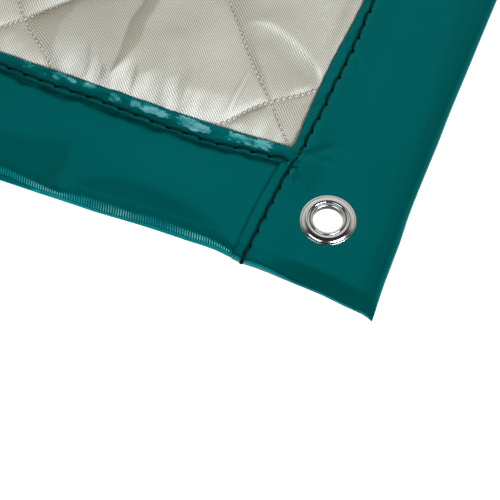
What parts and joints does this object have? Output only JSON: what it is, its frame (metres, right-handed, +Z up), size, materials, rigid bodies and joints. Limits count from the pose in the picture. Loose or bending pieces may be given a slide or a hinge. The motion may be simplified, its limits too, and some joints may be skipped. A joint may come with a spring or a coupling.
{
  "type": "sound dampening blanket",
  "caption": "Square sound dampening blanket: a diamond-quilted ivory pad held in a folded teal vinyl border, with metal grommets at its corners and the middles of its edges.",
  "frame": {"origin": "on the surface under the middle of the blanket", "axes": "+Z up, through the blanket's thickness; +X to the right along the front edge, whose corner with the right edge is the one in the picture; +Y towards the back edge"},
  "size_m": [1.2192, 1.2192, 0.017],
  "materials": {
    "ivory_facing": "satin-faced ivory twill over a soft filling, sewn in diamonds",
    "teal_vinyl": "semi-gloss vinyl-coated cloth, folded, with its scrim showing faintly",
    "nickel": "nickel plate, bright"
  },
  "bodies": {
    "root": {"quilt_panel": "ivory_facing", "border_front": "teal_vinyl", "border_back": "teal_vinyl", "border_left": "teal_vinyl", "border_right": "teal_vinyl", "grommet_left_front": "nickel", "grommet_left_middle": "nickel", "grommet_left_back": "nickel", "grommet_right_front": "nickel", "grommet_right_middle": "nickel", "grommet_right_back": "nickel", "grommet_front_middle": "nickel", "grommet_back_middle": "nickel", "washer_left_front": "nickel", "washer_left_middle": "nickel", "washer_left_back": "nickel", "washer_right_front": "nickel", "washer_right_middle": "nickel", "washer_right_back": "nickel", "washer_front_middle": "nickel", "washer_back_middle": "nickel"}
  },
  "joints": []
}
